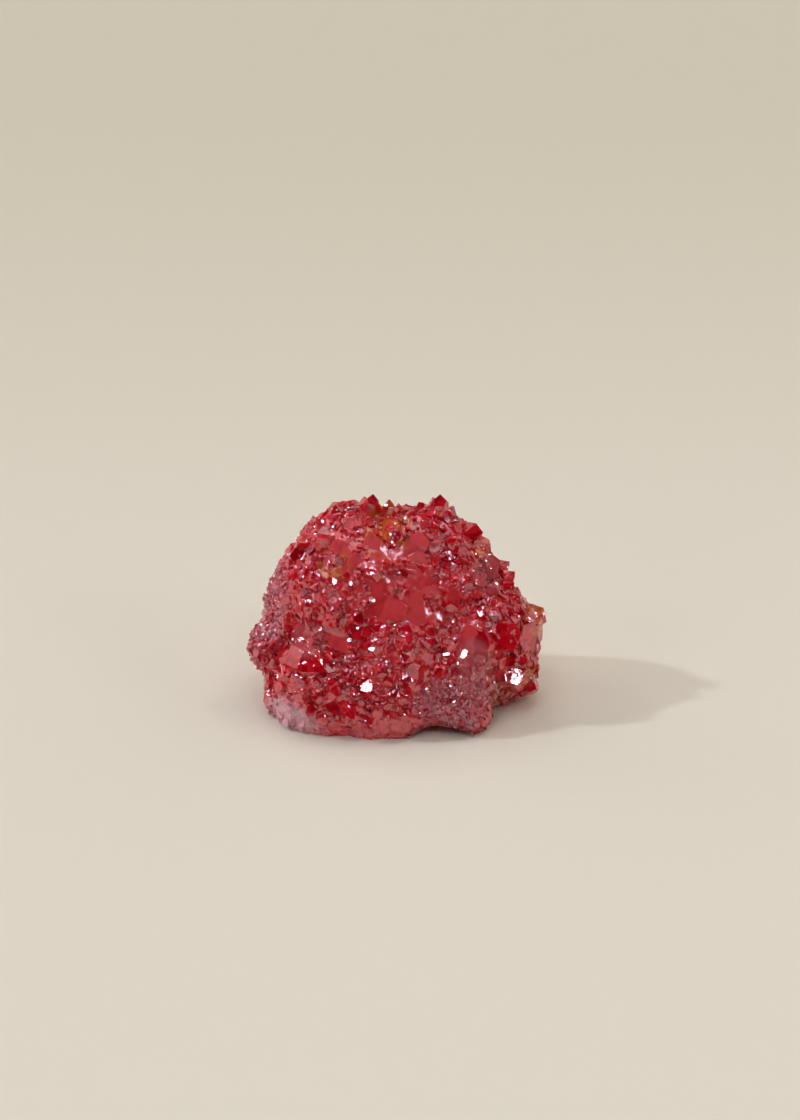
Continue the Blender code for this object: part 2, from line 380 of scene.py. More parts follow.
@dataclass
class Body:
    """The massive quartz: ellipsoid lumps melted together, star-shaped about its heart.

    Its skin swells and sinks by `ripple` in waves of `ripple_length`, and by `grain` in waves of
    `grain_length`. Patches of massive quartz are up to `knobbly` rougher. A slope is measured
    over a `probe` to each side.
    """

    lumps: tuple[Lump, ...] = (
        Lump((-6.9, 4.0, 19.1), (22.5, 16.5, 19.7)),  # main mass
        Lump((-10.6, 8.0, 29.8), (11.0, 10.5, 11.5)),  # crest, left
        Lump((4.0, 8.0, 29.0), (14.0, 10.5, 12.0)),  # crest, right
        Lump((-15.4, -6.5, 5.5), (13.7, 13.5, 13.0)),  # front left foot
        Lump((-3.0, -9.5, 3.5), (13.5, 11.5, 12.0)),  # front foot
        Lump((17.0, 0.5, 15.0), (12.5, 12.5, 12.5)),  # right shoulder
        Lump((11.0, 4.5, 24.5), (11.0, 11.0, 10.5)),  # upper right shoulder
        Lump((21.4, 0.3, 8.0), (8.7, 9.0, 8.5)),  # right flank
        Lump((10.0, -6.5, 5.5), (10.0, 12.5, 11.5)),  # front right foot
        Lump((15.0, -14.4, 3.0), (4.1, 5.0, 5.0)),  # toe, right of the arch
        Lump((0.0, -6.5, 13.0), (12.0, 11.5, 12.0)),  # front, above the feet
        Lump((0.0, 12.0, 9.0), (23.0, 10.0, 12.5)),  # back
        Lump((-29.6, -2.0, 13.0), (3.4, 4.6, 4.6)),  # left knob
    )
    melt: float = 1.2
    heart: Triple = (0.0, 2.0, 16.0)
    reach: float = 60.0
    halvings: int = 26
    ripple: float = 0.35
    ripple_length: float = 7.0
    grain: float = 0.1
    knobbly: float = 0.32
    knobbly_reach: float = 1.3
    grain_length: float = 2.0
    grain_waves: int = 12
    probe: float = 0.05
    polish: float = 0.75 * Polish.SATIN.value
    seed: int = 11
    around: int = 220
    upward: int = 120

    def depth(self, points: np.ndarray) -> np.ndarray:
        """Signed measure of depth: a soft minimum over the lumps.

        Each lump adds the exponential of its own depth over the melt, and the result is minus
        the melt times the logarithm of the sum.

        Args:
            points: places, one to a row.

        Returns:
            A number for each place, below zero inside the body.
        """
        total = np.zeros(len(points))
        for lump in self.lumps:
            total += np.exp((1.0 - lump.reach(points)) * min(lump.radii) / self.melt)
        return -self.melt * np.log(total)

    def skin(self, rays: np.ndarray) -> np.ndarray:
        """Where rays from the heart leave the body, found by halving, then rippled.

        Args:
            rays: unit directions, one to a row.

        Returns:
            A place for each ray.
        """
        heart = np.array(self.heart)
        low, high = np.zeros(len(rays)), np.full(len(rays), self.reach)
        for _ in range(self.halvings):
            middle = (low + high) / 2
            inside = self.depth(heart + middle[:, None] * rays) < 0
            low, high = np.where(inside, middle, low), np.where(inside, high, middle)
        skin = heart + low[:, None] * rays
        swell = self.ripple * ripples(skin, self.ripple_length, self.seed)
        return skin + swell[:, None] * rays

    def normals(self, points: np.ndarray) -> np.ndarray:
        """Outward unit normals: the slope of the depth, measured across each place.

        Args:
            points: places on the skin, one to a row.

        Returns:
            A unit vector for each place.
        """
        slopes = [
            self.depth(points + self.probe * axis) - self.depth(points - self.probe * axis)
            for axis in np.eye(3)
        ]
        return unit(np.stack(slopes, axis=1))

    def build(self, name: str) -> bpy.types.Object:
        """The body's closed skin.

        The skin is a function of longitude and latitude about the heart, sampled on a grid of
        rings, and closed by a fan at each pole. It is finely rippled, and more so where it
        stays bare of points.

        Args:
            name: the object's name.

        Returns:
            The body's object, at the origin.
        """
        longitude = np.arange(self.around) * 2 * math.pi / self.around
        latitude = (np.arange(1, self.upward) / self.upward - 0.5) * math.pi
        east, north = np.meshgrid(longitude, latitude)
        level = np.cos(north)
        rays = np.stack([level * np.cos(east), level * np.sin(east), np.sin(north)], axis=-1)
        rays = np.concatenate([rays.reshape(-1, 3), [[0, 0, -1.0], [0, 0, 1.0]]])
        skin = self.skin(rays)
        bare = np.min([patch.reach(skin) for patch in MASSIVE], axis=0)
        relief = self.grain + self.knobbly * np.clip(self.knobbly_reach - bare, 0.0, 1.0)
        waves = ripples(skin, self.grain_length, self.seed + 1, self.grain_waves)
        skin += (relief * waves)[:, None] * rays
        rings, n = self.upward - 1, self.around
        here = np.arange(rings * n).reshape(rings, n)
        beyond = np.roll(here, -1, axis=1)
        quads = np.stack([here[:-1], beyond[:-1], beyond[1:], here[1:]], axis=-1).reshape(-1, 4)
        bottom, top = rings * n, rings * n + 1
        faces = [tuple(quad) for quad in quads.tolist()]
        faces += [(b, a, bottom) for a, b in zip(here[0].tolist(), beyond[0].tolist())]
        faces += [(a, b, top) for a, b in zip(here[-1].tolist(), beyond[-1].tolist())]
        body = mesh_object(name, skin, faces)
        body.data.shade_smooth()
        mark_faces(body, "polish", np.full(len(faces), self.polish))
        return body


@dataclass
class Grid:
    """Places hashed into cubes, so that near ones are found at once."""

    cell: float
    held: dict[tuple[int, int, int], list[int]] = field(default_factory=lambda: defaultdict(list))

    def key(self, place: np.ndarray) -> tuple[int, int, int]:
        """The cube that a place falls in."""
        return tuple(int(math.floor(value / self.cell)) for value in place)

    def add(self, place: np.ndarray, row: int) -> None:
        """Files a row under its place."""
        self.held[self.key(place)].append(row)

    def near(self, place: np.ndarray) -> Iterator[int]:
        """The rows filed in a place's own cube and the ones round it.

        Args:
            place: where to look.

        Yields:
            Each row in turn.
        """
        x, y, z = self.key(place)
        for i in (x - 1, x, x + 1):
            for j in (y - 1, y, y + 1):
                for k in (z - 1, z, z + 1):
                    yield from self.held.get((i, j, k), ())


@dataclass
class Druse:
    """Every quartz point on the body, in generations.

    A point's root goes into the body by the share `root` of its width, and `facing` is how far
    tip faces turn at random. The other spans and shares are what the points' proportions are
    drawn from. Layers keep a `clearance` between points.
    """

    body: Body
    landmarks: tuple[Landmark, ...] = (
        # crest left
        Landmark((-0.26, 0.17, 0.95), (0.20, -0.12, 0.97), (0.1, -1.0, 0.2), 3.2, 5.3, 0.8),
        # crest middle
        Landmark((-0.10, 0.20, 0.96), (0.05, 0.20, 0.98), (0.5, -1.0, 0.2), 2.8, 3.6, 0.2),
        # crest right
        Landmark((0.33, 0.19, 0.93), (0.02, -0.12, 0.98), (0.0, -1.0, 0.2), 3.9, 5.7, 0.8),
        # beside it
        Landmark((-0.48, 0.15, 0.86), (-0.20, 0.15, 0.97), (0.0, -1.0, 0.5), 4.0, 2.6, 0.3),
        # behind crest left
        Landmark((-0.28, 0.22, 0.94), (-0.10, 0.40, 0.91), (0.0, 1.0, 0.2), 3.2, 3.4, 0.5),
        Landmark((-0.22, 0.21, 0.95), (0.50, 0.15, 0.85), (0.5, 1.0, 0.2), 2.6, 2.6, 0.4),
        # behind crest right
        Landmark((0.30, 0.26, 0.92), (-0.25, 0.45, 0.86), (0.0, 1.0, 0.2), 3.2, 3.4, 0.5),
        Landmark((0.39, 0.22, 0.90), (0.50, 0.25, 0.83), (0.5, 1.0, 0.2), 3.0, 2.8, 0.4),
        # right edge
        Landmark((0.90, 0.06, 0.43), (0.80, -0.10, 0.60), (0.2, -1.0, 0.2), 4.4, 3.4, 0.5),
        Landmark((0.91, -0.08, 0.40), (0.60, -0.40, 0.70), (0.0, -1.0, 0.3), 4.0, 2.8, 0.6),
        Landmark((0.85, 0.12, 0.50), (0.85, 0.05, 0.52), (0.2, -1.0, 0.2), 4.0, 3.0, 0.4),
        # low left
        Landmark((-0.72, -0.69, -0.04), (0.62, -0.78, 0.08), (0.0, -0.91, 0.42), 8.4, 3.2, 0.3),
        # below crest
        Landmark((-0.07, -0.03, 1.00), (0.10, -0.97, -0.20), (0.0, -0.3, 0.9), 5.0, 5.0, 0.6),
        # high right
        Landmark((0.49, -0.03, 0.87), (-0.51, -0.60, 0.62), (0.3, -1.0, 0.1), 5.5, 2.6, 0.6),
        # high left
        Landmark((-0.62, -0.07, 0.78), (-0.41, -0.57, 0.72), (0.2, -1.0, 0.1), 6.0, 2.6, 0.6),
        # low right end
        Landmark((0.91, -0.20, -0.37), (0.60, -0.80, 0.10), (0.1, -0.9, 0.4), 6.0, 3.4, 0.5),
        # upright
        Landmark((0.80, -0.58, 0.14), (-0.10, -0.34, 0.93), (-0.3, -0.95, 0.1), 6.0, 3.0, 0.5),
        # left end
        Landmark((-0.95, -0.29, -0.04), (-0.51, -0.78, 0.36), (-0.3, -0.9, 0.5), 6.0, 2.6, 0.5),
        # foot blade
        Landmark((-0.44, -0.83, -0.34), (0.52, -0.76, -0.30), (0.0, -0.8, 0.5), 3.4, 3.6, 0.4),
        # foot dart
        Landmark((-0.54, -0.79, -0.20), (0.54, -0.22, 0.81), (0.0, -1.0, 0.2), 3.6, 2.4, 0.4),
    )
    plates: tuple[Plate, ...] = (
        # right end, dark
        Plate((0.875, -0.465, 0.12), (-0.05, -0.93, 0.37), (0.0, 0.0, 1.0), 7.6, 1.8, 0.3, 1.2),
        # its pale side
        Plate((0.955, -0.29, 0.03), (0.62, -0.76, 0.20), (0.0, 0.0, 1.0), 6.0, 1.3, 0.3, 1.3),
        # its blunt end
        Plate((0.985, -0.15, 0.03), (0.95, -0.28, 0.14), (0.0, 0.0, 1.0), 6.2, 1.8, 0.35),
        # its amber top
        Plate((0.980, -0.15, 0.15), (0.35, -0.50, 0.79), (1.0, 0.0, 0.3), 5.4, 1.8, 0.3, 1.6),
        # upper right, dark
        Plate((0.79, -0.08, 0.60), (0.05, -0.92, 0.38), (0.6, 0.0, 0.8), 5.2, 1.6, 0.3, 1.2),
        # its pale side
        Plate((0.76, -0.25, 0.60), (0.42, -0.66, 0.62), (-0.5, 0.0, 0.8), 3.4, 1.0, 0.3, 1.3),
        # its bright edge
        Plate((0.775, -0.05, 0.63), Flash.RIGHT.value, (0.4, 0.0, -0.9), 1.3, 2.2, 0.3, 2.4),
        # dark hexagon
        Plate((-0.78, -0.62, -0.02), (-0.12, -0.93, 0.35), (0.1, 0.0, 1.0), 5.2, 1.0),
        # pale pentagon
        Plate((-0.74, -0.65, -0.15), (-0.35, -0.93, -0.10), (-0.5, 0.0, -1.0), 4.6, 0.6),
        # dark block, left
        Plate((-0.90, -0.42, 0.10), (-0.30, -0.88, 0.38), (-1.0, 0.0, 0.3), 4.4, 0.5),
        # lying prism
        Plate((0.06, -0.91, 0.41), (0.05, -0.92, 0.38), (1.0, 0.0, 0.1), 2.2, 0.5, 0.2, 1.8),
        # pale slab, right
        Plate((0.37, -0.14, 0.92), (0.10, -0.55, 0.83), (0.8, 0.0, 0.5), 4.4, 0.6, 0.5, 1.2),
        # pale slab, left
        Plate((-0.70, 0.09, 0.70), (-0.20, -0.50, 0.84), (-0.8, 0.0, -0.4), 3.6, 0.6, 0.5, 1.3),
        # dark, high left
        Plate((-0.74, -0.03, 0.67), (-0.15, -0.90, 0.40), (-0.8, 0.0, -0.4), 4.4, 0.7, 0.3, 1.4),
        # foot blades
        Plate((-0.63, -0.72, -0.30), (-0.10, -0.90, 0.42), (0.6, 0.0, 1.0), 2.6, 0.6, 0.3, 1.8),
        Plate((-0.53, -0.79, -0.30), (0.10, -0.90, 0.42), (0.8, 0.0, -0.8), 2.8, 0.6, 0.3, 1.9),
    )
    calm_plates: tuple[Plate, ...] = (
        # calm middle
        Plate((0.16, -0.77, 0.62), (0.16, -0.85, 0.51), (0.3, 0.0, 1.0), 8.0, 0.1, 0.2, 1.3),
        Plate((-0.19, -0.79, 0.59), (-0.10, -0.89, 0.45), (-1.0, 0.0, 0.2), 7.0, 0.1, 0.2, 1.3),
        Plate((0.40, -0.49, 0.77), (0.26, -0.80, 0.54), (1.0, 0.0, 0.5), 6.4, 0.1, 0.3, 1.2),
        # calm band
        Plate((-0.52, -0.20, 0.83), (-0.27, -0.79, 0.55), (-0.6, 0.0, 0.4), 5.4, 0.2, 0.3, 1.4),
        Plate((-0.45, -0.40, 0.80), (0.06, -0.82, 0.57), (0.3, 0.0, 1.0), 6.0, 0.1, 0.3, 1.4),
        Plate((-0.28, -0.20, 0.94), (0.03, -0.80, 0.60), (0.5, 0.0, 0.8), 5.0, 0.2, 0.4, 1.3),
        Plate((0.12, -0.16, 0.98), (0.02, -0.78, 0.63), (0.6, 0.0, 0.6), 5.4, 0.2, 0.3, 1.4),
        Plate((0.26, -0.27, 0.93), (0.30, -0.79, 0.54), (1.0, 0.0, 0.2), 5.4, 0.1, 0.3, 1.2),
        # low left
        Plate((-0.68, -0.71, 0.21), (-0.20, -0.88, 0.43), (-0.2, 0.0, 1.0), 6.2, 0.1, 0.3, 1.2),
        # pillar
        Plate((0.74, -0.65, 0.16), (-0.22, -0.88, 0.42), (0.0, 0.0, 1.0), 4.8, 0.1, 0.3, 1.9),
    )
    glints: tuple[Plate, ...] = (
        Plate((-0.32, -0.92, -0.22), Flash.LEFT.value, (0.2, 0.0, 1.0), 3.2, 1.0),
        Plate((-0.07, -0.96, -0.27), Flash.RIGHT.value, (0.6, 0.0, 1.0), 2.2, 0.9),
        Plate((-0.27, 0.20, 0.94), Flash.BACK.value, (1.0, 0.0, 0.4), 2.0, 0.6),
        Plate((0.87, -0.43, -0.24), Flash.LOW_RIGHT.value, (1.0, 0.0, 0.2), 4.4, 1.8),
        Plate((-0.86, -0.44, -0.28), Flash.LOW_LEFT.value, (-1.0, 0.0, 0.2), 1.8, 0.6),
        Plate((0.68, -0.73, 0.01), Flash.RIGHT.value, (0.6, 0.0, 1.0), 1.6, 0.6, 0.4, 1.7),
        Plate((-0.61, -0.43, 0.67), Flash.HIGH_LEFT.value, (-0.3, 0.0, 1.0), 1.1, 0.6, 0.4, 1.6),
        Plate((-0.50, -0.50, 0.71), Flash.HIGH.value, (0.3, 0.0, 1.0), 1.0, 0.6, 0.4, 1.5),
        Plate((0.53, -0.84, 0.04), Flash.RIGHT.value, (1.0, 0.0, 0.2), 1.1, 0.6, 0.4, 1.8),
        Plate((0.79, -0.48, 0.37), Flash.RIGHT.value, (0.2, 0.0, 1.0), 2.2, 0.8),
        Plate((-0.54, -0.84, -0.09), Flash.HIGH.value, (0.2, 0.0, 1.0), 1.6, 0.6),
        Plate((-0.17, -0.99, 0.01), Flash.LEFT.value, (0.6, 0.0, 1.0), 1.4, 0.6),
        Plate((0.04, -0.99, -0.10), Flash.RIGHT.value, (-0.4, 0.0, 1.0), 1.8, 0.7),
        Plate((0.25, -0.93, -0.26), Flash.HIGH.value, (1.0, 0.0, 0.3), 1.4, 0.6),
        Plate((-0.58, -0.79, 0.21), Flash.LEFT.value, (1.0, 0.0, 0.3), 1.2, 0.6, 0.4, 1.6),
        Plate((0.67, -0.72, 0.17), Flash.LEFT.value, (0.3, 0.0, 1.0), 1.2, 0.6, 0.4, 1.5),
        Plate((-0.33, -0.93, 0.15), Flash.RIGHT.value, (1.0, 0.0, 0.0), 1.2, 0.6, 0.4, 1.8),
        Plate((-0.89, -0.46, 0.09), Flash.HIGH_LEFT.value, (1.0, 0.0, 0.6), 2.0, 0.8),
    )
    growths: tuple[Growth, ...] = (
        Growth(
            name="large", spacing=8.0, width=(4.0, 6.0), rise=(0.26, 0.38), lean=(25, 58),
            tries=1500, lowest=2.5, habits=(Habit.TRIGONAL,), avoid=QUIET,
        ),
        Growth(
            name="shard", spacing=6.0, width=(4.0, 6.4), rise=(0.26, 0.38), lean=(25, 58),
            tries=1500, lowest=2.5, habits=(Habit.OBLIQUE,), avoid=QUIET,
        ),
        Growth(
            name="medium", spacing=3.2, width=(2.2, 4.0), rise=(0.28, 0.48), lean=(10, 62),
            tries=9000, lowest=1.6, habits=(Habit.TRIGONAL,), avoid=QUIET,
        ),
        Growth(
            name="chip", spacing=2.0, width=(2.0, 3.9), rise=(0.28, 0.48), lean=(10, 62),
            tries=9000, lowest=1.6, habits=(Habit.OBLIQUE,), avoid=QUIET,
        ),
        Growth(
            name="small", spacing=1.08, width=(1.0, 2.0), rise=(0.36, 0.70), lean=(5, 56),
            tries=60000, lowest=0.8, habits=(Habit.SIMPLE, Habit.OBLIQUE), avoid=MASSIVE + CALM,
        ),
        Growth(
            name="island", spacing=1.1, width=(0.9, 1.9), rise=(0.5, 0.8), lean=(5, 50),
            tries=60000, lowest=0.8, habits=(Habit.SIMPLE, Habit.OBLIQUE), patches=ISLANDS,
        ),
        Growth(
            name="sunk", spacing=1.3, width=(1.3, 2.6), rise=(0.2, 0.4), lean=(0, 35),
            tries=60000, lowest=0.5, habits=(Habit.OBLIQUE,), patches=MASSIVE,
        ),
        Growth(
            name="fine", spacing=0.72, width=(0.7, 1.1), rise=(0.4, 0.7), lean=(0, 45),
            tries=60000, lowest=0.5, habits=(Habit.SIMPLE,), patches=FINE, avoid=MASSIVE,
        ),
    )
    facing: float = 0.4
    root: float = 0.55
    clearance: float = 0.05
    minors: Span = (0.25, 0.8)
    stretches: Span = (0.55, 1.35)
    off_centre: float = 0.3
    uneven: Span = (0.68, 1.15)
    seed: int = 11

    def placed(self) -> Points:
        """The landmarks as points, seated on the body.

        Returns:
            One point for each landmark.
        """
        marks = self.landmarks
        axes = unit(column(marks, "axis"))
        return Points(
            seat=self.body.skin(unit(column(marks, "ray"))),
            axis=axes,
            width=column(marks, "width"),
            height=column(marks, "height"),
            minor=column(marks, "minor"),
            roll=roll_to_face(axes, column(marks, "facing")),
            stretch=np.ones(len(marks)),
            sides=np.ones((len(marks), SIDES)),
            polish=np.full(len(marks), Polish.PLAIN.value),
            habit=np.full(len(marks), HABITS.index(Habit.TRIGONAL)),
        )

    def growth_sides(self, growth: Growth, rng: np.random.Generator, count: int) -> np.ndarray:
        """How far out each prism side stands: uneven, but even where three tip faces need it.

        Args:
            growth: the generation.
            rng: where the unevenness is drawn from.
            count: how many points there are.

        Returns:
            A row of six shares for each point.
        """
        if Habit.TRIGONAL in growth.habits:
            return np.ones((count, SIDES))
        return rng.uniform(*self.uneven, (count, SIDES))

    def broad(self, plates: tuple[Plate, ...], polish: Polish, rng: np.random.Generator) -> Points:
        """The plates as points: each leans away from its broad face by that face's slope.

        Args:
            plates: the plates.
            polish: how evenly they reflect.
            rng: where their uneven sides are drawn from.

        Returns:
            One point for each plate.
        """
        normals = unit(column(plates, "normal"))
        leans = column(plates, "lean")
        leans = unit(leans - (leans * normals).sum(axis=1, keepdims=True) * normals)
        steep = column(plates, "steep")
        stretch = column(plates, "stretch")
        width = column(plates, "width")
        angle = np.arctan2(TIP_SLOPE * steep, stretch)[:, None]
        axes = np.cos(angle) * normals + np.sin(angle) * leans
        return Points(
            seat=self.body.skin(unit(column(plates, "ray"))),
            axis=axes,
            width=width,
            height=column(plates, "proud") + TIP_SLOPE * steep * width / 2,
            minor=steep,
            roll=roll_to_face(axes, normals),
            stretch=stretch,
            sides=rng.uniform(*self.uneven, (len(plates), SIDES)),
            polish=np.full(len(plates), polish.value),
            habit=np.full(len(plates), HABITS.index(Habit.OBLIQUE)),
        )

    def scattered(self, growth: Growth, rng: np.random.Generator) -> Points:
        """One generation's candidates, thrown evenly in all directions from the heart.

        Args:
            growth: the generation.
            rng: where all that varies is drawn from.

        Returns:
            The candidates that lie where this generation grows.
        """
        seats = self.body.skin(unit(rng.normal(size=(growth.tries, 3))))
        keep = seats[:, 2] > growth.lowest
        if growth.patches:
            keep &= np.min([patch.reach(seats) for patch in growth.patches], axis=0) < 1
        if growth.avoid:
            keep &= np.min([patch.reach(seats) for patch in growth.avoid], axis=0) > 1
        seats = seats[keep]
        count = len(seats)
        normals = self.body.normals(seats)
        sideways = unit(np.cross(normals, rng.normal(size=seats.shape)))
        tilts = np.radians(rng.uniform(*growth.lean, count))[:, None]
        axes = np.cos(tilts) * normals + np.sin(tilts) * sideways
        widths = rng.uniform(*growth.width, count)
        return Points(
            seat=seats,
            axis=axes,
            width=widths,
            height=widths * rng.uniform(*growth.rise, count),
            minor=rng.uniform(*self.minors, count),
            roll=roll_to_face(axes, normals + self.facing * rng.normal(size=seats.shape)),
            stretch=rng.uniform(*self.stretches, count),
            sides=self.growth_sides(growth, rng, count),
            polish=np.full(count, Polish.PLAIN.value),
            habit=rng.choice([HABITS.index(habit) for habit in growth.habits], count),
        )

    def grown(self) -> Points:
        """All points: those listed, then each generation in the gaps that are left.

        Returns:
            The points of the whole chunk.
        """
        rng = np.random.default_rng(self.seed)
        groups = [
            self.placed(),
            self.broad(self.plates, Polish.PLAIN, rng),
            self.broad(self.calm_plates, Polish.SATIN, rng),
            self.broad(self.glints, Polish.KEEN, rng),
        ]
        for growth in self.growths:
            thrown = self.scattered(growth, rng)
            taken = np.vstack([group.seat for group in groups])
            kept = self.spaced(thrown.seat, growth.spacing, taken)
            groups.append(thrown.picked(kept))
            LOG.info("%s points: %d of %d", growth.name, len(kept), len(thrown))
        return Points.joined(groups)

    @staticmethod
    def spaced(seats: np.ndarray, spacing: float, taken: np.ndarray) -> np.ndarray:
        """Picks seats that keep their distance from those taken and from each other.

        Args:
            seats: the candidates, one to a row.
            spacing: the least distance.
            taken: the seats that are taken already.

        Returns:
            The rows of the seats that are picked.
        """
        grid = Grid(spacing)
        everyone = np.vstack([taken, seats])
        for row in range(len(taken)):
            grid.add(everyone[row], row)
        kept = []
        for row in range(len(taken), len(everyone)):
            place = everyone[row]
            close = list(grid.near(place))
            if close and (np.linalg.norm(everyone[close] - place, axis=1) < spacing).any():
                continue
            grid.add(place, row)
            kept.append(row - len(taken))
        return np.array(kept)

    def layers(self, points: Points) -> list[np.ndarray]:
        """Splits the points into layers in which none touches another, as one clean fuse needs.

        A point's ball reaches from its root to its tip. Points are taken in turn, and each goes
        into the first layer that holds no ball it touches.

        Args:
            points: all the points.

        Returns:
            Each layer's rows.
        """
        roots = self.roots(points)
        spread = points.width * np.maximum(points.stretch, 1.0)
        balls = 0.5 * np.hypot(points.height - roots, spread) + self.clearance
        centres = points.seat + points.axis * ((points.height + roots) / 2)[:, None]
        grid = Grid(2 * float(balls.max()))
        layer_of = np.zeros(len(points), int)
        for row in range(len(points)):
            close = list(grid.near(centres[row]))
            if close:
                gaps = np.linalg.norm(centres[close] - centres[row], axis=1)
                used = set(layer_of[close][gaps < balls[close] + balls[row]].tolist())
                layer_of[row] = next(k for k in range(len(used) + 1) if k not in used)
            grid.add(centres[row], row)
        return [np.flatnonzero(layer_of == k) for k in range(layer_of.max() + 1)]

    def roots(self, points: Points) -> np.ndarray:
        """How high above its seat each point begins: below zero, inside the body."""
        return np.minimum(points.foot(), 0.0) - self.root * points.width

    @staticmethod
    def outline(points: Points) -> np.ndarray:
        """The six corners of each prism's cross-section: where neighbouring sides meet.

        Side k faces the angle 60k degrees at its own distance from the axis, so the corner lies
        on it, as far along as the next side allows.

        Args:
            points: the points.

        Returns:
            Six places across the axis for each point.
        """
        turns = np.radians(TURN * np.arange(SIDES))
        out = np.stack([np.cos(turns), np.sin(turns)], axis=-1)
        along = np.stack([-np.sin(turns), np.cos(turns)], axis=-1)
        away = (points.width / 2 * INSET)[:, None] * points.sides
        corner = math.radians(TURN)
        step = (np.roll(away, -1, axis=1) - away * math.cos(corner)) / math.sin(corner)
        return away[..., None] * out + step[..., None] * along

    def rings(self, points: Points, corners: np.ndarray, upper: np.ndarray) -> list[np.ndarray]:
        """The prism's corners, each an array with one row for each point.

        Args:
            points: the points.
            corners: the cross-section's six corners for each point.
            upper: the heights at which the prism's six edges end.

        Returns:
            Six corners at the root, then six at the upper heights.
        """
        lower = np.tile(self.roots(points)[:, None], SIDES)
        return [
            np.column_stack([corners[:, k], level[:, k]])
            for level in (lower, upper)
            for k in range(SIDES)
        ]

    def trigonal(self, points: Points) -> Block:
        """Points that end in three large and three small tip faces.

        The prism has six sides. Three major tip faces meet at the tip, and three minor ones
        start lower down, between them, at the share `minor` of the way out to the prism's sides.

        Args:
            points: the points.

        Returns:
            Local corners, one block for each point, and the faces of one block.
        """
        inner = points.width / 2 * INSET
        tip = points.height
        shoulder = points.foot()
        half_side = inner * math.tan(math.radians(TURN / 2)) * (1 - points.minor)
        low = shoulder + TIP_SLOPE * inner * points.minor / 2
        high = tip - TIP_SLOPE * inner * points.minor / 2
        spots = self.rings(points, self.outline(points), np.tile(shoulder[:, None], SIDES))
        minors = (1, 3, 5)
        for k in minors:
            turn = math.radians(TURN * k)
            out = np.array([math.cos(turn), math.sin(turn)])
            along = np.array([-math.sin(turn), math.cos(turn)])
            for sign in (-1, 1):
                flat = inner[:, None] * out + sign * half_side[:, None] * along
                spots.append(np.column_stack([flat, low]))
            spots.append(np.column_stack([(inner * points.minor)[:, None] * out, high]))
        spots.append(np.column_stack([np.zeros(len(points)), np.zeros(len(points)), tip]))
        first, top = 2 * SIDES, 3 * SIDES + 3
        faces: Faces = [BOTTOM]
        for n, k in enumerate(minors):
            right = first + 3 * n
            left, peak = right + 1, right + 2
            next_right = first + 3 * ((n + 1) % 3)
            next_peak = next_right + 2
            before, beyond = k - 1, (k + 1) % SIDES
            faces.append((before, k, SIDES + k, left, right, SIDES + before))
            faces.append((right, left, peak))
            faces.append((k, beyond, SIDES + beyond, SIDES + k))
            faces.append((SIDES + k, SIDES + beyond, next_right, next_peak, top, peak, left))
        return np.stack(spots, axis=1), faces

    def simple(self, points: Points) -> Block:
        """Points that end in six tip faces, which meet off centre.

        The tip lies off the axis by the share `minor` of the most that it may.

        Args:
            points: the points.

        Returns:
            Local corners, one block for each point, and the faces of one block.
        """
        shoulder = np.tile(points.foot()[:, None], SIDES)
        spots = self.rings(points, self.outline(points), shoulder)
        shift = self.off_centre * points.width / 2 * points.minor
        spots.append(np.stack([shift, np.zeros(len(points)), points.height], axis=-1))
        faces: Faces = [BOTTOM]
        for k in range(SIDES):
            beyond = (k + 1) % SIDES
            faces.append((k, beyond, SIDES + beyond, SIDES + k))
            faces.append((SIDES + k, SIDES + beyond, 2 * SIDES))
        return np.stack(spots, axis=1), faces

    def oblique(self, points: Points) -> Block:
        """Points cut off by one plane, as where one tip face outgrew the others.

        The plane falls away to the front at the share `minor` of a tip face's slope.

        Args:
            points: the points.

        Returns:
            Local corners, one block for each point, and the faces of one block.
        """
        corners = self.outline(points)
        slope = TIP_SLOPE * points.minor
        middle = points.height - slope * points.width / 2
        spots = self.rings(points, corners, middle[:, None] - slope[:, None] * corners[:, :, 0])
        faces: Faces = [BOTTOM, tuple(range(SIDES, 2 * SIDES))]
        for k in range(SIDES):
            beyond = (k + 1) % SIDES
            faces.append((k, beyond, SIDES + beyond, SIDES + k))
        return np.stack(spots, axis=1), faces

    def build(self, points: Points, name: str) -> bpy.types.Object:
        """One mesh that holds these points, each a closed shell.

        Args:
            points: points that don't touch each other.
            name: the object's name.

        Returns:
            The object, at the origin.
        """
        templates = {
            Habit.TRIGONAL: self.trigonal,
            Habit.SIMPLE: self.simple,
            Habit.OBLIQUE: self.oblique,
        }
        places: list[np.ndarray] = []
        polish: list[np.ndarray] = []
        faces: Faces = []
        count = 0
        for habit, template in templates.items():
            chosen = points.picked(points.habit == HABITS.index(habit))
            if not len(chosen):
                continue
            spots, block = template(chosen)
            spots[:, :, 0] *= chosen.stretch[:, None]
            world = spots @ chosen.frames() + chosen.seat[:, None, :]
            corners = spots.shape[1]
            starts = count + corners * np.arange(len(chosen))
            for face in block:
                faces += [tuple(row) for row in (starts[:, None] + np.array(face)).tolist()]
            places.append(world.reshape(-1, 3))
            polish.append(np.tile(chosen.polish, len(block)))
            count += corners * len(chosen)
        made = mesh_object(name, np.vstack(places), faces)
        mark_faces(made, "polish", np.concatenate(polish))
        return made


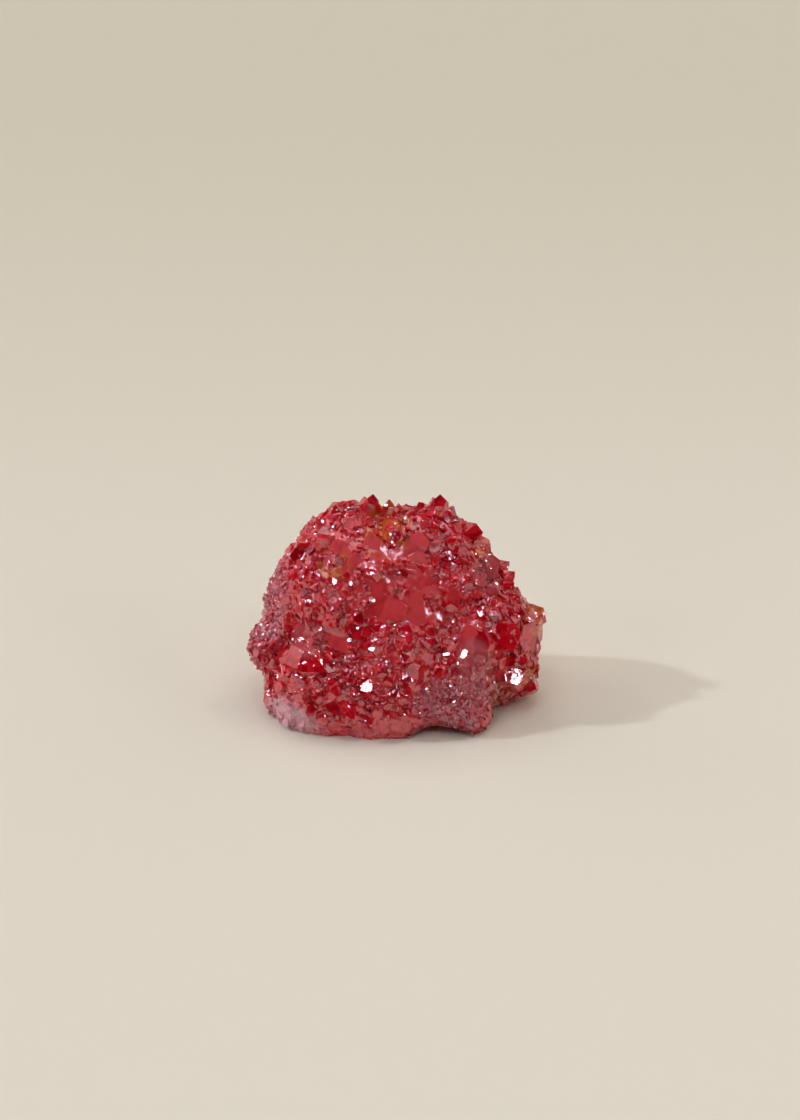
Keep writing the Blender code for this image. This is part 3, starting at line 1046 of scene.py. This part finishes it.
@dataclass
class Underside:
    """What breaks the chunk off below: the ground plane and the arch at the front right."""

    arch: Lump = Lump((9.0, -22.5, -1.5), (8.0, 8.5, 4.3))
    arch_steps: int = 4
    slab_side: float = 120.0
    slab_depth: float = 14.0

    def slab(self) -> bpy.types.Object:
        """A block whose top is the ground.

        Returns:
            The block's object.
        """
        half = self.slab_side / 2
        square = [(-half, -half), (half, -half), (half, half), (-half, half)]
        places = np.array([(x, y, z) for z in (-self.slab_depth, 0.0) for x, y in square])
        sides = [(k, (k + 1) % 4, 4 + (k + 1) % 4, 4 + k) for k in range(4)]
        return mesh_object("ground", places, [(3, 2, 1, 0), (4, 5, 6, 7), *sides])

    def hollow(self) -> bpy.types.Object:
        """The arch's ellipsoid: a ball scaled by its radii.

        Returns:
            The ellipsoid's object.
        """
        shape = bmesh.new()
        bmesh.ops.create_icosphere(shape, subdivisions=self.arch_steps, radius=1.0)
        places = np.array([corner.co for corner in shape.verts]) * np.array(self.arch.radii)
        faces = [tuple(corner.index for corner in face.verts) for face in shape.faces]
        shape.free()
        return mesh_object("arch", places + np.array(self.arch.centre), faces)


class Kit:
    """A short way to write the nodes of a material or of the world."""

    def __init__(self, owner: bpy.types.Material | bpy.types.World) -> None:
        """Starts without a node.

        Args:
            owner: what the nodes belong to.
        """
        owner.use_nodes = True
        self.tree = owner.node_tree
        self.tree.nodes.clear()

    def node(self, kind: str, inputs: dict | None = None, **settings: object) -> bpy.types.Node:
        """Adds a node.

        Args:
            kind: the node's type.
            inputs: what goes into its sockets, each a value or another node's output.
            settings: the node's own properties.

        Returns:
            The node.
        """
        made = self.tree.nodes.new(kind)
        for name, value in settings.items():
            setattr(made, name, value)
        for name, value in (inputs or {}).items():
            if isinstance(value, Socket):
                self.tree.links.new(value, made.inputs[name])
            else:
                made.inputs[name].default_value = value
        return made

    def math(self, operation: str, a: object, b: object = 0.0) -> Socket:
        """One arithmetic step."""
        return self.node("ShaderNodeMath", {0: a, 1: b}, operation=operation).outputs[0]

    def vector(self, operation: str, a: object, b: object) -> Socket:
        """One arithmetic step on vectors."""
        return self.node("ShaderNodeVectorMath", {0: a, 1: b}, operation=operation).outputs[0]

    def scaled(self, vector: Socket, factor: object) -> Socket:
        """The vector times a number."""
        return self.node("ShaderNodeVectorMath", {0: vector, 3: factor}, operation="SCALE").outputs[0]

    def sum_of(self, *terms: tuple[object, float], start: object = 0.0) -> Socket:
        """A weighted sum.

        Args:
            terms: values and their weights.
            start: what they are added to.

        Returns:
            The start plus each value times its weight.
        """
        total = start
        for value, weight in terms:
            inputs = {0: value, 1: weight, 2: total}
            total = self.node("ShaderNodeMath", inputs, operation="MULTIPLY_ADD").outputs[0]
        return total

    def ramp(self, value: Socket, rise: Rise) -> Socket:
        """The value carried along the rise, by the smooth step 3t^2 - 2t^3."""
        names = ("From Min", "From Max", "To Min", "To Max")
        inputs = dict(zip(names, (rise.low, rise.high, rise.start, rise.end)), Value=value)
        return self.node("ShaderNodeMapRange", inputs, interpolation_type="SMOOTHSTEP").outputs[0]

    def mix(self, share: Socket, a: object, b: object) -> Socket:
        """Turns one colour into another.

        Args:
            share: 0 for the first and 1 for the second.
            a: the first colour, or a socket.
            b: the second one.

        Returns:
            The mixed colour.
        """
        made = self.node("ShaderNodeMix", {"Factor": share}, data_type="RGBA")
        for socket, value in ((made.inputs[6], a), (made.inputs[7], b)):
            if isinstance(value, Socket):
                self.tree.links.new(value, socket)
            else:
                socket.default_value = value
        return made.outputs[2]

    def noise(self, place: Socket, length: float, detail: float = 2.0) -> Socket:
        """Smooth noise from 0 to 1 whose features are about this long, in millimetres."""
        inputs = {"Vector": place, "Scale": 1.0 / length, "Detail": detail}
        return self.node("ShaderNodeTexNoise", inputs).outputs[0]

    def patch(self, place: Socket, lump: Lump, soft: float) -> Socket:
        """An ellipsoid patch: distance from its centre over its radius, ramped down about 1.

        Args:
            place: coordinates in millimetres.
            lump: the ellipsoid.
            soft: how far the edge reaches to either side, as a share of the radius.

        Returns:
            1 inside and 0 outside.
        """
        away = self.vector("DIVIDE", self.vector("SUBTRACT", place, lump.centre), lump.radii)
        length = self.node("ShaderNodeVectorMath", {0: away}, operation="LENGTH")
        return self.ramp(length.outputs["Value"], Rise(1.0 + soft, 1.0 - soft))

    def any_patch(self, place: Socket, lumps: tuple[Lump, ...], soft: float) -> Socket:
        """Several patches as one: the greatest of their shares.

        Args:
            place: coordinates in millimetres.
            lumps: the ellipsoids.
            soft: how soft their edges are.

        Returns:
            1 inside any of them and 0 outside.
        """
        shares = [self.patch(place, lump, soft) for lump in lumps]
        most = shares[0]
        for share in shares[1:]:
            most = self.math("MAXIMUM", most, share)
        return most


@dataclass(frozen=True)
class CoatedQuartz:
    """The finish of the whole chunk: red metallic film over quartz, bare and milky in places.

    Lengths are in millimetres, except the film's, which is in nanometres. A slant is how much of
    a random vector is added to the surface normal.
    """

    # dark is the darkest red of random faces, and also the painted shade under the arch
    dark: Colour = (0.42, 0.0002, 0.006, 1.0)
    deep: Colour = (0.76, 0.0005, 0.012, 1.0)
    bright: Colour = (0.92, 0.014, 0.034, 1.0)
    mauve: Colour = (0.70, 0.23, 0.28, 1.0)
    milk: Colour = (0.90, 0.49, 0.57, 1.0)
    calm: Colour = (0.98, 0.075, 0.085, 1.0)
    rose: Colour = (1.0, 0.050, 0.075, 1.0)
    rust: Colour = (0.60, 0.14, 0.06, 1.0)
    amber: Colour = (0.75, 0.15, 0.02, 1.0)
    tint: Colour = (1.0, 0.83, 0.85, 1.0)  # of what it mirrors

    # light inside the quartz: the shares that pass and that scatter, and how far red, green and
    # blue spread
    quartz_index: float = 1.9
    clear: float = 0.25
    cloudy: float = 0.15
    scatter: Triple = (1.0, 0.3, 0.25)
    scatter_depth: float = 0.9

    # the film's thickness, and the most that each pattern adds to it
    film_index: float = 2.1
    film: float = 40.0
    film_facet: float = 14.0
    film_shard: float = 12.0
    film_gold: float = 32.0
    film_violet: float = 56.0

    # roughness, which rises with a face's own number
    rough: Rise = Rise(0.7, 1.0, 0.02, 0.07)
    rough_fine: float = 0.03
    rough_satin: float = 0.17

    # how soft the patches' edges are, as shares of their radii
    sharp: float = 0.1
    firm: float = 0.2
    faded: float = 0.3

    # where each colour lies: lengths of noise, weights of the faces' and the shards' numbers,
    # and shares
    facet_shade: float = 0.6
    shard_shade: float = 0.4
    shades: Rise = Rise(0.30, 0.72)
    cloud: float = 4.0
    cloud_detail: float = 3.0
    shard_cloud: float = 0.3
    clouds: Rise = Rise(0.55, 0.88)
    satin_clouds: Rise = Rise(0.35, 0.75, 0.6, 1.0)
    speckle: float = 0.9
    facet_speckle: float = 0.3
    speckles: Rise = Rise(0.5, 0.75)
    gold_clump: float = 3.0
    gold_clumps: Rise = Rise(0.42, 0.58)
    gold_share: float = 0.8
    violet_share: float = 0.5
    mauve_speckles: Rise = Rise(0.25, 0.7)
    rose_speckles: Rise = Rise(0.0, 0.8)
    rust_speckles: Rise = Rise(0.0, 1.0, 0.2, 1.0)
    milk_speckles: Rise = Rise(0.0, 1.0, 0.6, 1.0)

    # slants of the surface: sizes of shards, grains and waves, and how strong each one's slant is
    shard: float = 1.3
    shard_field: float = 6.0
    shard_slants: Rise = Rise(0.42, 0.56, 0.05, 0.18)
    grain: float = 0.45
    grain_field: float = 5.0
    grain_slants: Rise = Rise(0.46, 0.60, 0.08, 0.42)
    fine_slant: float = 0.75
    wave: float = 2.2
    wave_slant: float = 0.16
    evenness: float = 0.85  # what a fully polished face loses of its slants

    # radii of softened edges, and the shallow pits all over
    edge: float = 0.12
    satin_edge: float = 0.04
    edge_samples: int = 4
    pitting: float = 0.5
    pit_depth: float = 0.06
    pit_strength: float = 0.2

    def build(self) -> bpy.types.Material:
        """The material, its patterns set out in millimetres on the object's own coordinates.

        Returns:
            The material.
        """
        material = bpy.data.materials.new("coated_quartz")
        kit = Kit(material)
        place = kit.scaled(kit.node("ShaderNodeTexCoord").outputs["Object"], 1 / MM)
        facet = kit.node("ShaderNodeAttribute", attribute_name="facet").outputs["Fac"]
        polish = kit.node("ShaderNodeAttribute", attribute_name="polish").outputs["Fac"]
        satin = kit.math("MAXIMUM", polish, 0.0)
        shards = kit.node("ShaderNodeTexVoronoi", {"Vector": place, "Scale": 1.0 / self.shard})
        parts = kit.node("ShaderNodeSeparateColor", {0: shards.outputs["Color"]}).outputs
        fine = kit.any_patch(place, FINE, self.faded)
        violet = kit.any_patch(place, VIOLET, self.firm)
        clumps = kit.ramp(kit.noise(place, self.gold_clump, 1.0), self.gold_clumps)
        gold = kit.math("MULTIPLY", kit.any_patch(place, GOLD, self.firm), clumps)
        film = kit.sum_of(
            (gold, self.film_gold),
            (violet, self.film_violet),
            (facet, self.film_facet),
            (parts[1], self.film_shard),
            start=self.film,
        )
        rough = kit.sum_of(
            (fine, self.rough_fine), (satin, self.rough_satin), start=kit.ramp(facet, self.rough)
        )
        red = self.reds(kit, place, facet, satin, parts)
        bump_inputs = {
            "Strength": self.pit_strength,
            "Distance": self.pit_depth * MM,
            "Height": kit.noise(place, self.pitting),
            "Normal": self.slanted(kit, place, shards.outputs["Color"], fine, polish),
        }
        inputs = {
            "Base Color": self.overlaid(kit, place, facet, red, gold, fine, violet),
            "Roughness": rough,
            "IOR": self.quartz_index,
            "Specular Tint": self.tint,
            "Transmission Weight": self.clear,
            "Subsurface Weight": self.cloudy,
            "Subsurface Radius": self.scatter,
            "Subsurface Scale": self.scatter_depth * MM,
            "Thin Film Thickness": film,
            "Thin Film IOR": self.film_index,
            "Normal": kit.node("ShaderNodeBump", bump_inputs).outputs[0],
        }
        shader = kit.node("ShaderNodeBsdfPrincipled", inputs)
        kit.node("ShaderNodeOutputMaterial", {"Surface": shader.outputs[0]})
        return material

    def reds(self, kit: Kit, place: Socket, facet: Socket, satin: Socket, parts: Sockets) -> Socket:
        """The film's reds: dark or deep face by face, bright in clouds, and calm where satin.

        Args:
            kit: the material.
            place: coordinates in millimetres.
            facet: each face's own number.
            satin: 1 on satin faces.
            parts: three numbers for each shard.

        Returns:
            The colour.
        """
        cloudy = kit.math("MULTIPLY", parts[0], self.shard_cloud)
        clouds = kit.math("ADD", kit.noise(place, self.cloud, self.cloud_detail), cloudy)
        shade = kit.sum_of((facet, self.facet_shade), (parts[2], self.shard_shade))
        red = kit.mix(kit.ramp(shade, self.shades), self.dark, self.deep)
        red = kit.mix(kit.ramp(clouds, self.clouds), red, self.bright)
        calm = kit.math("MULTIPLY", satin, kit.ramp(clouds, self.satin_clouds))
        return kit.mix(calm, red, self.calm)

    def overlaid(
        self,
        kit: Kit,
        place: Socket,
        facet: Socket,
        red: Socket,
        gold: Socket,
        fine: Socket,
        violet: Socket,
    ) -> Socket:
        """The reds with every patch of another colour laid over them, most speckled, and the arch's
        roof painted dark as shade.

        Args:
            kit: the material.
            place: coordinates in millimetres.
            facet: each face's own number.
            red: the colour below.
            gold: 1 where the film is golden.
            fine: 1 where the finest druse is.
            violet: 1 where the film is violet.

        Returns:
            The colour.
        """
        noisy = kit.math("MULTIPLY", facet, self.facet_speckle)
        noisy = kit.math("ADD", kit.noise(place, self.speckle), noisy)
        speckles = kit.ramp(noisy, self.speckles)
        milky, foot = (kit.patch(place, lump, self.faded) for lump in MASSIVE)
        rusty = kit.patch(place, RUST_CORNER, self.faded)
        colour = red
        for patch, strength, layer in (
            (gold, self.gold_share, self.amber),
            (fine, kit.ramp(speckles, self.mauve_speckles), self.mauve),
            (violet, self.violet_share, self.mauve),
            (foot, kit.ramp(speckles, self.rose_speckles), self.rose),
            (rusty, kit.ramp(speckles, self.rust_speckles), self.rust),
            (milky, kit.ramp(speckles, self.milk_speckles), self.milk),
        ):
            colour = kit.mix(kit.math("MULTIPLY", patch, strength), colour, layer)
        # painted shade: the arch's roof takes the darkest red, standing in for the shade under the
        # overhang
        return kit.mix(kit.patch(place, ARCH_PAINTED_SHADE, self.sharp), colour, self.dark)

    def slanted(
        self, kit: Kit, place: Socket, shards: Socket, fine: Socket, polish: Socket
    ) -> Socket:
        """The surface normal, tipped a little at random.

        Every shard of quartz grown together has its own slant, so a face that crosses several
        breaks into straight-edged parts. Grains of the finest druse have a stronger slant, and
        slow waves bend whatever is left flat. The edges of faces are softened.

        Args:
            kit: the material.
            place: coordinates in millimetres.
            shards: a random colour for each shard.
            fine: 1 where the finest druse is.
            polish: away from 0 on faces that keep nearly all of their own normal.

        Returns:
            The tipped unit normal.
        """
        grains = kit.node("ShaderNodeTexVoronoi", {"Vector": place, "Scale": 1.0 / self.grain})
        waves = kit.node(
            "ShaderNodeTexNoise", {"Vector": place, "Scale": 1.0 / self.wave, "Detail": 1.0}
        )
        shard_slant = kit.ramp(kit.noise(place, self.shard_field, 1.0), self.shard_slants)
        grain_slant = kit.ramp(kit.noise(place, self.grain_field), self.grain_slants)
        fine_slant = kit.math("MULTIPLY", fine, self.fine_slant)
        kept = kit.sum_of((kit.math("ABSOLUTE", polish), -self.evenness), start=1.0)
        satin = kit.math("MAXIMUM", polish, 0.0)
        lost = (self.satin_edge - self.edge) * MM
        edge = kit.sum_of((satin, lost), start=self.edge * MM)
        total = kit.node("ShaderNodeBevel", {"Radius": edge}, samples=self.edge_samples).outputs[0]
        for source, slant in (
            (shards, shard_slant),
            (grains.outputs["Color"], kit.math("MAXIMUM", grain_slant, fine_slant)),
            (waves.outputs["Color"], self.wave_slant),
        ):
            tip = kit.vector("SUBTRACT", source, (0.5, 0.5, 0.5))
            tip = kit.scaled(tip, kit.math("MULTIPLY", slant, kept))
            total = kit.vector("ADD", total, tip)
        return kit.node("ShaderNodeVectorMath", {0: total}, operation="NORMALIZE").outputs[0]


@dataclass
class Chunk:
    """The whole specimen: body, points and base in one closed skin.

    Faces count as one crystal face if they lie in one plane: their normals agree to one part in
    `normal_steps`, and their planes' distances from the origin to one `offset_steps`th of a
    millimetre.
    """

    body: Body = field(default_factory=Body)
    underside: Underside = field(default_factory=Underside)
    finish: CoatedQuartz = field(default_factory=CoatedQuartz)
    facet_seed: int = 5
    body_facet: float = 0.4
    normal_steps: int = 40
    offset_steps: int = 4

    def build(self, name: str) -> bpy.types.Object:
        """Fuses the layers of points onto the body and breaks the base off.

        Args:
            name: the object's name.

        Returns:
            The chunk's object, at the origin.
        """
        druse = Druse(self.body)
        points = druse.grown()
        chunk = self.body.build(name)
        layers = druse.layers(points)
        for number, rows in enumerate(layers):
            fuse(chunk, druse.build(points.picked(rows), f"layer_{number}"), Fuse.UNION)
        fuse(chunk, self.underside.slab(), Fuse.DIFFERENCE)
        fuse(chunk, self.underside.hollow(), Fuse.DIFFERENCE)
        LOG.info("fused %d points in %d layers", len(points), len(layers))
        return chunk

    def dress(self, chunk: bpy.types.Object) -> None:
        """Gives every crystal face its own number from 0 to 1 and assigns the finish.

        Args:
            chunk: the chunk's object.
        """
        mesh = chunk.data
        count = len(mesh.polygons)
        smooth = np.empty(count, bool)
        mesh.polygons.foreach_get("use_smooth", smooth)
        normals, centres = np.empty(3 * count), np.empty(3 * count)
        mesh.polygons.foreach_get("normal", normals)
        mesh.polygons.foreach_get("center", centres)
        normals = normals.reshape(-1, 3)
        offset = (normals * centres.reshape(-1, 3)).sum(axis=1) / MM
        planes = np.column_stack([normals * self.normal_steps, offset * self.offset_steps])
        _, plane = np.unique(planes.round().astype(np.int64), axis=0, return_inverse=True)
        numbers = np.random.default_rng(self.facet_seed).uniform(size=plane.max() + 1)
        facet = numbers[plane.reshape(-1)]
        facet[smooth] = self.body_facet
        mark_faces(chunk, "facet", facet)
        mesh.materials.clear()
        mesh.materials.append(self.finish.build())


@dataclass
class Floor:
    """The plain pale surface that the chunk rests on."""

    side: float = 6000.0
    colour: Colour = (0.775, 0.77, 0.63, 1.0)
    # painted shade: the floor's colour is painted darker towards the back, where less light reaches
    far_painted_shade: Colour = (0.66, 0.65, 0.49, 1.0)
    near: float = -100.0
    far: float = 500.0
    rough: float = 0.7
    index: float = 1.3

    def build(self) -> bpy.types.Object:
        """A wide flat sheet at ground level, its colour painted gently darker towards the back as
        painted shade.

        Returns:
            The floor's object.
        """
        half = self.side / 2
        square = np.array([(-half, -half, 0), (half, -half, 0), (half, half, 0), (-half, half, 0)])
        floor = mesh_object("floor", square, [(0, 1, 2, 3)])
        material = bpy.data.materials.new("pale_floor")
        kit = Kit(material)
        coords = kit.node("ShaderNodeTexCoord").outputs["Object"]
        depth = kit.node("ShaderNodeSeparateXYZ", {0: coords}).outputs["Y"]
        distance = kit.ramp(depth, Rise(self.near * MM, self.far * MM))
        colour = kit.mix(distance, self.colour, self.far_painted_shade)
        inputs = {"Base Color": colour, "Roughness": self.rough, "IOR": self.index}
        shader = kit.node("ShaderNodeBsdfPrincipled", inputs)
        kit.node("ShaderNodeOutputMaterial", {"Surface": shader.outputs[0]})
        floor.data.materials.append(material)
        return floor


@dataclass(frozen=True)
class Panel:
    """One part of the surroundings: a round area of one colour, seen in one direction.

    Angles are in degrees. The azimuth runs clockwise from the back, seen from above. The colour
    is full within the inner angle from the middle and gone beyond the outer one.
    """

    azimuth: float
    elevation: float
    inner: float
    outer: float
    colour: Triple

    def way(self) -> Vector:
        """The direction towards it: sine and cosine of the azimuth at the elevation's level.

        Returns:
            A unit vector.
        """
        azimuth, rise = math.radians(self.azimuth), math.radians(self.elevation)
        level = math.cos(rise)
        return Vector((math.sin(azimuth) * level, math.cos(azimuth) * level, math.sin(rise)))

    def edge(self) -> Rise:
        """Its soft edge, as cosines of the angle from its middle."""
        return Rise(math.cos(math.radians(self.outer)), math.cos(math.radians(self.inner)))


@dataclass
class Studio:
    """A pale tent with dark flags and small bright windows, and one lamp that throws the shadow."""

    key: Panel = Panel(272.0, 36.0, 1.2, 1.2, (0.86, 0.90, 1.0))
    key_power: float = 0.92
    tent: Triple = (0.76, 0.62, 0.60)
    panels: tuple[Panel, ...] = (
        Panel(0.0, 70.0, 15.0, 40.0, (1.5, 1.4, 1.3)),  # bright ceiling
        Panel(180.0, 30.0, 50.0, 68.0, (0.010, 0.003, 0.004)),  # dark side, behind the camera
        Panel(250.0, 55.0, 10.0, 38.0, (0.03, 0.025, 0.025)),
        Panel(110.0, 50.0, 10.0, 34.0, (0.05, 0.04, 0.04)),
        Panel(0.0, 30.0, 12.0, 35.0, (0.06, 0.05, 0.05)),
        Panel(215.0, 62.0, 2.2, 3.0, (24.0, 22.0, 25.0)),  # windows
        Panel(200.0, 45.0, 2.4, 3.2, (24.0, 22.0, 25.0)),
        Panel(150.0, 48.0, 2.2, 3.0, (24.0, 22.0, 23.0)),
        Panel(170.0, 68.0, 1.6, 2.4, (24.0, 22.0, 25.0)),
        Panel(240.0, 32.0, 1.8, 2.6, (24.0, 22.0, 26.0)),
        Panel(120.0, 28.0, 2.4, 3.2, (24.0, 22.0, 24.0)),
        Panel(285.0, 45.0, 2.2, 3.0, (24.0, 22.0, 26.0)),
        Panel(60.0, 60.0, 2.2, 3.0, (24.0, 22.5, 22.0)),
        Panel(340.0, 50.0, 2.2, 3.0, (24.0, 22.0, 24.0)),
        Panel(135.0, 75.0, 1.4, 2.0, (24.0, 22.0, 25.0)),
        Panel(225.0, 20.0, 1.2, 1.8, (24.0, 22.0, 25.0)),
        Panel(95.0, 38.0, 1.6, 2.2, (24.0, 22.0, 23.0)),
        Panel(260.0, 70.0, 1.4, 2.0, (24.0, 22.0, 26.0)),
        Panel(300.0, 20.0, 1.6, 2.2, (24.0, 22.0, 26.0)),
    )

    def build(self) -> None:
        """Makes the lamp and the surroundings."""
        lamp = bpy.data.lights.new("key", "SUN")
        lamp.energy = self.key_power
        lamp.color = self.key.colour
        lamp.angle = math.radians(2 * self.key.outer)
        key = bpy.data.objects.new("key", lamp)
        key.rotation_euler = self.key.way().to_track_quat("Z", "Y").to_euler()
        bpy.context.scene.collection.objects.link(key)
        world = bpy.data.worlds.new("surroundings")
        kit = Kit(world)
        way = kit.node("ShaderNodeTexCoord").outputs["Generated"]
        seen: object = (*self.tent, 1.0)
        for panel in self.panels:
            inputs = {0: way, 1: panel.way()}
            toward = kit.node("ShaderNodeVectorMath", inputs, operation="DOT_PRODUCT")
            share = kit.ramp(toward.outputs["Value"], panel.edge())
            seen = kit.mix(share, seen, (*panel.colour, 1.0))
        shader = kit.node("ShaderNodeBackground", {"Color": seen})
        kit.node("ShaderNodeOutputWorld", {"Surface": shader.outputs[0]})
        bpy.context.scene.world = world


@dataclass
class Viewpoint:
    """The camera: a long lens that looks down at the chunk from the front."""

    elevation: float = 25.0
    distance: float = 600.0
    target: Triple = (0.0, 0.0, 33.0)
    lens: float = 88.9
    sensor: float = 36.0
    nearest: float = 10.0
    farthest: float = 20000.0

    def build(self) -> bpy.types.Object:
        """Makes the camera and gives it to the scene.

        Returns:
            The camera's object.
        """
        rise = math.radians(self.elevation)
        back = Vector((0.0, -math.cos(rise), math.sin(rise)))
        data = bpy.data.cameras.new("view")
        data.lens = self.lens
        data.sensor_width = self.sensor
        data.clip_start = self.nearest * MM
        data.clip_end = self.farthest * MM
        camera = bpy.data.objects.new("view", data)
        camera.location = (Vector(self.target) - Vector(MIDDLE) + back * self.distance) * MM
        camera.rotation_euler = back.to_track_quat("Z", "Y").to_euler()
        bpy.context.scene.collection.objects.link(camera)
        bpy.context.scene.camera = camera
        return camera


def main() -> None:
    """Builds the chunk and its setting."""
    logging.basicConfig(level=logging.INFO, format="%(name)s: %(message)s")
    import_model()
    specimen = Chunk()
    chunk = specimen.build("druse_chunk")
    specimen.dress(chunk)
    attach(chunk, "root")
    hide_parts("geode")
    LOG.info("chunk: %d faces", len(chunk.data.polygons))
    floor = Floor().build()
    LOG.info("floor made")
    Studio().build()
    Viewpoint().build()
    bpy.context.scene.view_settings.view_transform = "Standard"


if __name__ == "__main__":
    main()
